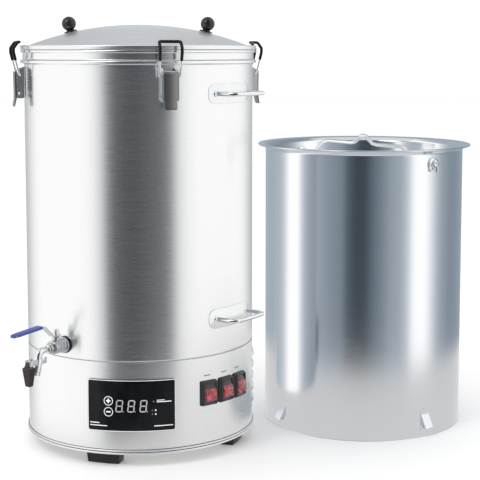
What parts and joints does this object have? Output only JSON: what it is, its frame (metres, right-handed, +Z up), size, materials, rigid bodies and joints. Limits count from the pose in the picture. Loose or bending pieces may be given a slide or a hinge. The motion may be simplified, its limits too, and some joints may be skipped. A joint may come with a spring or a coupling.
{
  "type": "electric all in one brewer",
  "caption": "Cylindrical stainless boiler kettle with clipped domed lid, ball-valve tap, base control panel and rocker switches, with its flared malt pipe standing beside it.",
  "frame": {"origin": "centre of the bounding box on the floor, between the kettle and the malt pipe", "axes": "+Z up, -Y the front with the control panel, +X from the kettle towards the malt pipe"},
  "size_m": [0.6816, 0.492, 0.6171],
  "materials": {
    "brushed_shell": "circumferentially brushed stainless",
    "polished_steel": "polished stainless",
    "element_metal": "dull",
    "black_plastic": "fine moulded",
    "knob_plastic": "gloss",
    "panel_gloss": "gloss overlay",
    "black_rubber": "matt",
    "bail_sleeve": "satin sleeve over wire",
    "red_lens": "translucent gloss",
    "blue_sleeve": "dipped vinyl",
    "board_green": "solder mask",
    "silicone": "translucent matt"
  },
  "bodies": {
    "kettle": {"vessel": "brushed_shell", "skirt": "brushed_shell", "base_plate": "brushed_shell", "foot_1": "black_rubber", "foot_2": "black_rubber", "foot_3": "black_rubber", "foot_4": "black_rubber", "heater_plate": "element_metal", "heating_element_1": "element_metal", "heating_element_2": "element_metal", "heating_element_3": "element_metal", "thermal_cutout": "black_plastic", "temperature_sensor": "element_metal", "control_panel": "panel_gloss", "display_module": "black_plastic", "control_board": "board_green", "switch_housing_1": "black_plastic", "switch_housing_2": "black_plastic", "switch_housing_3": "black_plastic", "power_inlet": "black_plastic", "handle_upper_right": "polished_steel", "handle_lower_right": "polished_steel", "handle_upper_left": "polished_steel", "handle_lower_left": "polished_steel", "latch_bracket_1": "polished_steel", "latch_bracket_2": "polished_steel", "latch_bracket_3": "polished_steel", "latch_bracket_4": "polished_steel", "valve_inner_nut": "polished_steel", "valve_washer": "silicone", "valve_body": "polished_steel", "spout": "polished_steel", "coupler": "polished_steel"},
    "lid": {"lid": "brushed_shell", "lid_seal": "silicone", "lid_knob_1": "knob_plastic", "lid_knob_2": "knob_plastic"},
    "latch_lever_1": {"latch_lever_1": "polished_steel"},
    "latch_bail_1": {"latch_bail_1": "bail_sleeve"},
    "latch_lever_2": {"latch_lever_2": "polished_steel"},
    "latch_bail_2": {"latch_bail_2": "bail_sleeve"},
    "latch_lever_3": {"latch_lever_3": "polished_steel"},
    "latch_bail_3": {"latch_bail_3": "bail_sleeve"},
    "latch_lever_4": {"latch_lever_4": "polished_steel"},
    "latch_bail_4": {"latch_bail_4": "bail_sleeve"},
    "tap_lever": {"valve_ball": "polished_steel", "valve_lever": "polished_steel", "valve_grip": "blue_sleeve"},
    "coupler_latch": {"coupler_latch": "black_rubber"},
    "rocker_1": {"switch_rocker_1": "red_lens"},
    "rocker_2": {"switch_rocker_2": "red_lens"},
    "rocker_3": {"switch_rocker_3": "red_lens"},
    "plus_button": {"plus_button": "black_plastic"},
    "minus_button": {"minus_button": "black_plastic"},
    "malt_pipe": {"malt_pipe": "brushed_shell", "pipe_eyelet_1": "polished_steel", "pipe_eyelet_2": "polished_steel"},
    "pipe_handle": {"pipe_handle": "polished_steel"},
    "pipe_screen": {"pipe_screen": "brushed_shell"}
  },
  "joints": [
    {"name": "lid_lift", "type": "slide", "parent": "kettle", "child": "lid", "axis": [0, 0, 1], "range_m": [0, 0.2]},
    {"name": "latch_1_open", "type": "hinge", "parent": "kettle", "child": "latch_lever_1", "pos_m": [-0.10488, -0.18824, 0.54], "axis": [-0.9489, -0.3156, 0], "range_deg": [0, 110]},
    {"name": "latch_1_bail", "type": "hinge", "parent": "latch_lever_1", "child": "latch_bail_1", "pos_m": [-0.10393, -0.19108, 0.534], "axis": [-0.9489, -0.3156, 0], "range_deg": [-140, 0]},
    {"name": "latch_2_open", "type": "hinge", "parent": "kettle", "child": "latch_lever_2", "pos_m": [0.00404, 0.02926, 0.54], "axis": [0.3156, -0.9489, 0], "range_deg": [0, 110]},
    {"name": "latch_2_bail", "type": "hinge", "parent": "latch_lever_2", "child": "latch_bail_2", "pos_m": [0.00689, 0.03021, 0.534], "axis": [0.3156, -0.9489, 0], "range_deg": [-140, 0]},
    {"name": "latch_3_open", "type": "hinge", "parent": "kettle", "child": "latch_lever_3", "pos_m": [-0.21346, 0.13818, 0.54], "axis": [0.9489, 0.3156, 0], "range_deg": [0, 110]},
    {"name": "latch_3_bail", "type": "hinge", "parent": "latch_lever_3", "child": "latch_bail_3", "pos_m": [-0.21441, 0.14102, 0.534], "axis": [0.9489, 0.3156, 0], "range_deg": [-140, 0]},
    {"name": "latch_4_open", "type": "hinge", "parent": "kettle", "child": "latch_lever_4", "pos_m": [-0.32237, -0.07932, 0.54], "axis": [-0.3156, 0.9489, 0], "range_deg": [0, 110]},
    {"name": "latch_4_bail", "type": "hinge", "parent": "latch_lever_4", "child": "latch_bail_4", "pos_m": [-0.32522, -0.08027, 0.534], "axis": [-0.3156, 0.9489, 0], "range_deg": [-140, 0]},
    {"name": "tap_turn", "type": "hinge", "parent": "kettle", "child": "tap_lever", "pos_m": [-0.26278, -0.17466, 0.181], "axis": [0, 0, -1], "range_deg": [0, 90]},
    {"name": "coupler_latch_open", "type": "hinge", "parent": "kettle", "child": "coupler_latch", "pos_m": [-0.29266, -0.21782, 0.1515], "axis": [-0.8221, 0.5693, 0], "range_deg": [0, 70]},
    {"name": "switch_1", "type": "hinge", "parent": "kettle", "child": "rocker_1", "pos_m": [-0.0573, -0.15355, 0.0965], "axis": [0.7837, 0.6211, 0], "range_deg": [0, 22]},
    {"name": "switch_2", "type": "hinge", "parent": "kettle", "child": "rocker_2", "pos_m": [-0.03502, -0.13219, 0.0965], "axis": [0.6534, 0.757, 0], "range_deg": [0, 22]},
    {"name": "switch_3", "type": "hinge", "parent": "kettle", "child": "rocker_3", "pos_m": [-0.01714, -0.10703, 0.0965], "axis": [0.5, 0.866, 0], "range_deg": [0, 22]},
    {"name": "plus_press", "type": "slide", "parent": "kettle", "child": "plus_button", "axis": [0.1857, 0.9826, 0], "range_m": [0, 0.0008], "stiffness_N_per_m": 500, "springref_m": -0.0002},
    {"name": "minus_press", "type": "slide", "parent": "kettle", "child": "minus_button", "axis": [0.1857, 0.9826, 0], "range_m": [0, 0.0008], "stiffness_N_per_m": 500, "springref_m": -0.0002},
    {"name": "malt_pipe_lift", "type": "slide", "parent": "kettle", "child": "malt_pipe", "axis": [0, 0, 1], "range_m": [0, 0.1]},
    {"name": "pipe_handle_swing", "type": "hinge", "parent": "malt_pipe", "child": "pipe_handle", "pos_m": [0.17783, 0.08297, 0.404], "axis": [0.6018, -0.7986, 0], "range_deg": [-85, 85]},
    {"name": "pipe_screen_lift", "type": "slide", "parent": "malt_pipe", "child": "pipe_screen", "axis": [0, 0, 1], "range_m": [0, 0.3]}
  ],
  "couplings": [
    {"joint": "latch_1_bail", "follows": "latch_1_open", "ratio": -1.25},
    {"joint": "latch_2_bail", "follows": "latch_2_open", "ratio": -1.25},
    {"joint": "latch_3_bail", "follows": "latch_3_open", "ratio": -1.25},
    {"joint": "latch_4_bail", "follows": "latch_4_open", "ratio": -1.25}
  ]
}
